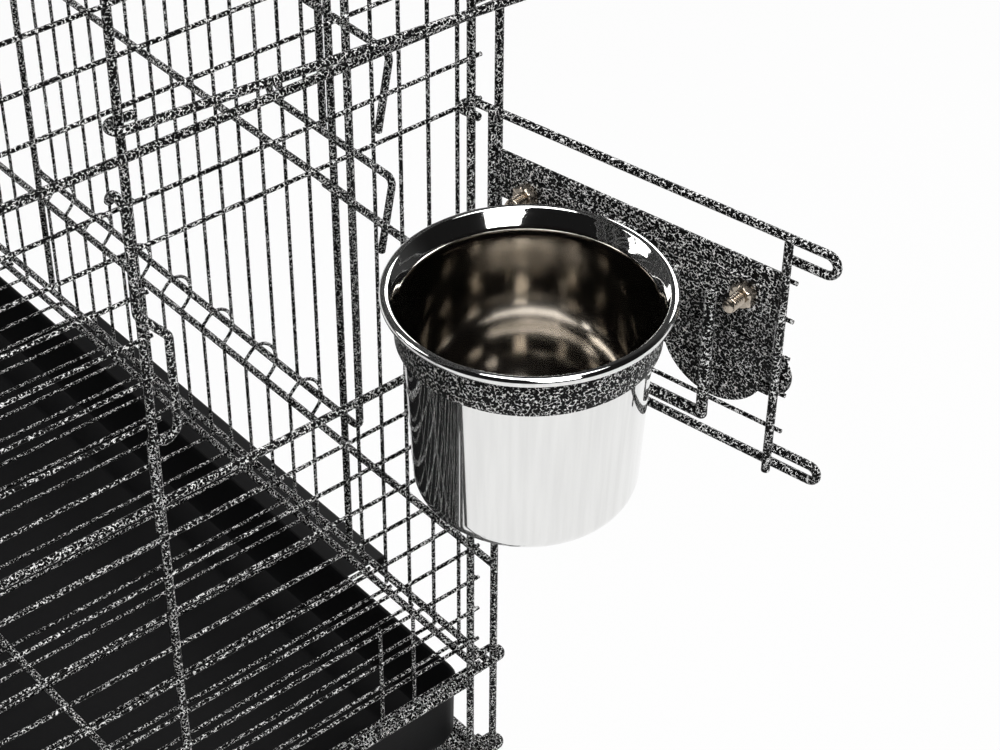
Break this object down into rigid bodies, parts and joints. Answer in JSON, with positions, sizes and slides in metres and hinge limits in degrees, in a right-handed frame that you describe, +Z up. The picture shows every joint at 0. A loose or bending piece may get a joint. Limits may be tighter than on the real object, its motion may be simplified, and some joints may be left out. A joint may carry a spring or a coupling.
{
  "type": "bird cage",
  "caption": "Wire bird cage on a rolling stand, with a drop-down front door, a slide-out grate and tray, and feeder doors that swing out with steel bowls.",
  "frame": {"origin": "on the floor, under the middle of the cage", "axes": "+Z up, -Y towards the main door (front), +X to the right as seen from the front; the feeder doors are at -X and +X"},
  "size_m": [0.8948, 0.4919, 1.4031],
  "materials": {
    "hammertone": "black powder coat with silver veins",
    "stainless": "polished",
    "nickel": "plated",
    "tray_black": "matte",
    "caster_metal": "plated",
    "wheel_rubber": "matte"
  },
  "bodies": {
    "cage": {"front_uprights": "hammertone", "front_rails": "hammertone", "front_wires": "hammertone", "front_hairpins": "hammertone", "back_uprights": "hammertone", "back_rails": "hammertone", "back_wires": "hammertone", "left_uprights": "hammertone", "left_rails": "hammertone", "left_wires": "hammertone", "left_tie_hooks": "hammertone", "right_uprights": "hammertone", "right_rails": "hammertone", "right_wires": "hammertone", "right_tie_hooks": "hammertone", "top_rails": "hammertone", "top_wires": "hammertone", "base_rails": "hammertone", "stand_legs": "hammertone", "stand_top_rails": "hammertone", "stand_shelf": "hammertone"},
    "grate": {"grate_frame": "hammertone", "grate_wires": "hammertone"},
    "tray": {"tray": "tray_black"},
    "main_door": {"main_door_frame": "hammertone", "main_door_wires": "hammertone"},
    "main_door_latch": {"main_door_latch": "hammertone"},
    "left_feeder_door": {"left_feeder_frame": "hammertone", "left_feeder_wires": "hammertone", "left_feeder_strip": "hammertone", "left_feeder_back_plate": "hammertone", "left_feeder_bracket": "hammertone", "left_feeder_bolts": "nickel"},
    "left_bowl": {"left_bowl": "stainless"},
    "left_catch": {"left_catch": "hammertone"},
    "left_swing_bar": {"left_swing_bar": "hammertone"},
    "right_feeder_door": {"right_feeder_frame": "hammertone", "right_feeder_wires": "hammertone", "right_feeder_strip": "hammertone", "right_feeder_back_plate": "hammertone", "right_feeder_bracket": "hammertone", "right_feeder_bolts": "nickel"},
    "right_bowl": {"right_bowl": "stainless"},
    "right_catch": {"right_catch": "hammertone"},
    "right_swing_bar": {"right_swing_bar": "hammertone"},
    "caster_front_left": {"caster_front_left": "caster_metal"},
    "wheel_front_left": {"wheel_front_left": "wheel_rubber"},
    "caster_back_left": {"caster_back_left": "caster_metal"},
    "wheel_back_left": {"wheel_back_left": "wheel_rubber"},
    "caster_front_right": {"caster_front_right": "caster_metal"},
    "wheel_front_right": {"wheel_front_right": "wheel_rubber"},
    "caster_back_right": {"caster_back_right": "caster_metal"},
    "wheel_back_right": {"wheel_back_right": "wheel_rubber"}
  },
  "joints": [
    {"name": "main_door_hinge", "type": "hinge", "parent": "cage", "child": "main_door", "pos_m": [-0.27, -0.2341, 0.715], "axis": [1, 0, 0], "range_deg": [0, 98]},
    {"name": "main_door_latch_slide", "type": "slide", "parent": "main_door", "child": "main_door_latch", "axis": [1, 0, 0], "range_m": [-0.012, 0]},
    {"name": "grate_slide", "type": "slide", "parent": "cage", "child": "grate", "axis": [0, -1, 0], "range_m": [0, 0.43]},
    {"name": "tray_slide", "type": "slide", "parent": "cage", "child": "tray", "axis": [0, -1, 0], "range_m": [0, 0.42]},
    {"name": "left_feeder_hinge", "type": "hinge", "parent": "cage", "child": "left_feeder_door", "pos_m": [-0.2704, -0.2144, 0.913], "axis": [0, 0, 1], "range_deg": [-100.8, 0]},
    {"name": "left_bowl_lift", "type": "slide", "parent": "left_feeder_door", "child": "left_bowl", "axis": [0, 0, 1], "range_m": [0, 0.12]},
    {"name": "left_catch_swing", "type": "hinge", "parent": "cage", "child": "left_catch", "pos_m": [-0.273, -0.041, 0.997], "axis": [0, 1, 0], "range_deg": [0, 35]},
    {"name": "left_swing_bar_hinge", "type": "hinge", "parent": "cage", "child": "left_swing_bar", "pos_m": [-0.2704, -0.047, 1.0298], "axis": [0, 0, 1], "range_deg": [-60, 0]},
    {"name": "right_feeder_hinge", "type": "hinge", "parent": "cage", "child": "right_feeder_door", "pos_m": [0.2704, -0.2144, 0.913], "axis": [0, 0, 1], "range_deg": [0, 100.8]},
    {"name": "right_bowl_lift", "type": "slide", "parent": "right_feeder_door", "child": "right_bowl", "axis": [0, 0, 1], "range_m": [0, 0.12]},
    {"name": "right_catch_swing", "type": "hinge", "parent": "cage", "child": "right_catch", "pos_m": [0.273, -0.041, 0.997], "axis": [0, 1, 0], "range_deg": [-35, 0]},
    {"name": "right_swing_bar_hinge", "type": "hinge", "parent": "cage", "child": "right_swing_bar", "pos_m": [0.2704, -0.047, 1.0298], "axis": [0, 0, 1], "range_deg": [0, 60]},
    {"name": "caster_swivel_front_left", "type": "hinge", "parent": "cage", "child": "caster_front_left", "pos_m": [-0.264, -0.224, 0.062], "axis": [0, 0, 1], "continuous": true},
    {"name": "wheel_spin_front_left", "type": "hinge", "parent": "caster_front_left", "child": "wheel_front_left", "pos_m": [-0.282, -0.224, 0.025], "axis": [0, 1, 0], "continuous": true},
    {"name": "caster_swivel_back_left", "type": "hinge", "parent": "cage", "child": "caster_back_left", "pos_m": [-0.264, 0.224, 0.062], "axis": [0, 0, 1], "continuous": true},
    {"name": "wheel_spin_back_left", "type": "hinge", "parent": "caster_back_left", "child": "wheel_back_left", "pos_m": [-0.282, 0.224, 0.025], "axis": [0, 1, 0], "continuous": true},
    {"name": "caster_swivel_front_right", "type": "hinge", "parent": "cage", "child": "caster_front_right", "pos_m": [0.264, -0.224, 0.062], "axis": [0, 0, 1], "continuous": true},
    {"name": "wheel_spin_front_right", "type": "hinge", "parent": "caster_front_right", "child": "wheel_front_right", "pos_m": [0.282, -0.224, 0.025], "axis": [0, 1, 0], "continuous": true},
    {"name": "caster_swivel_back_right", "type": "hinge", "parent": "cage", "child": "caster_back_right", "pos_m": [0.264, 0.224, 0.062], "axis": [0, 0, 1], "continuous": true},
    {"name": "wheel_spin_back_right", "type": "hinge", "parent": "caster_back_right", "child": "wheel_back_right", "pos_m": [0.282, 0.224, 0.025], "axis": [0, 1, 0], "continuous": true}
  ]
}
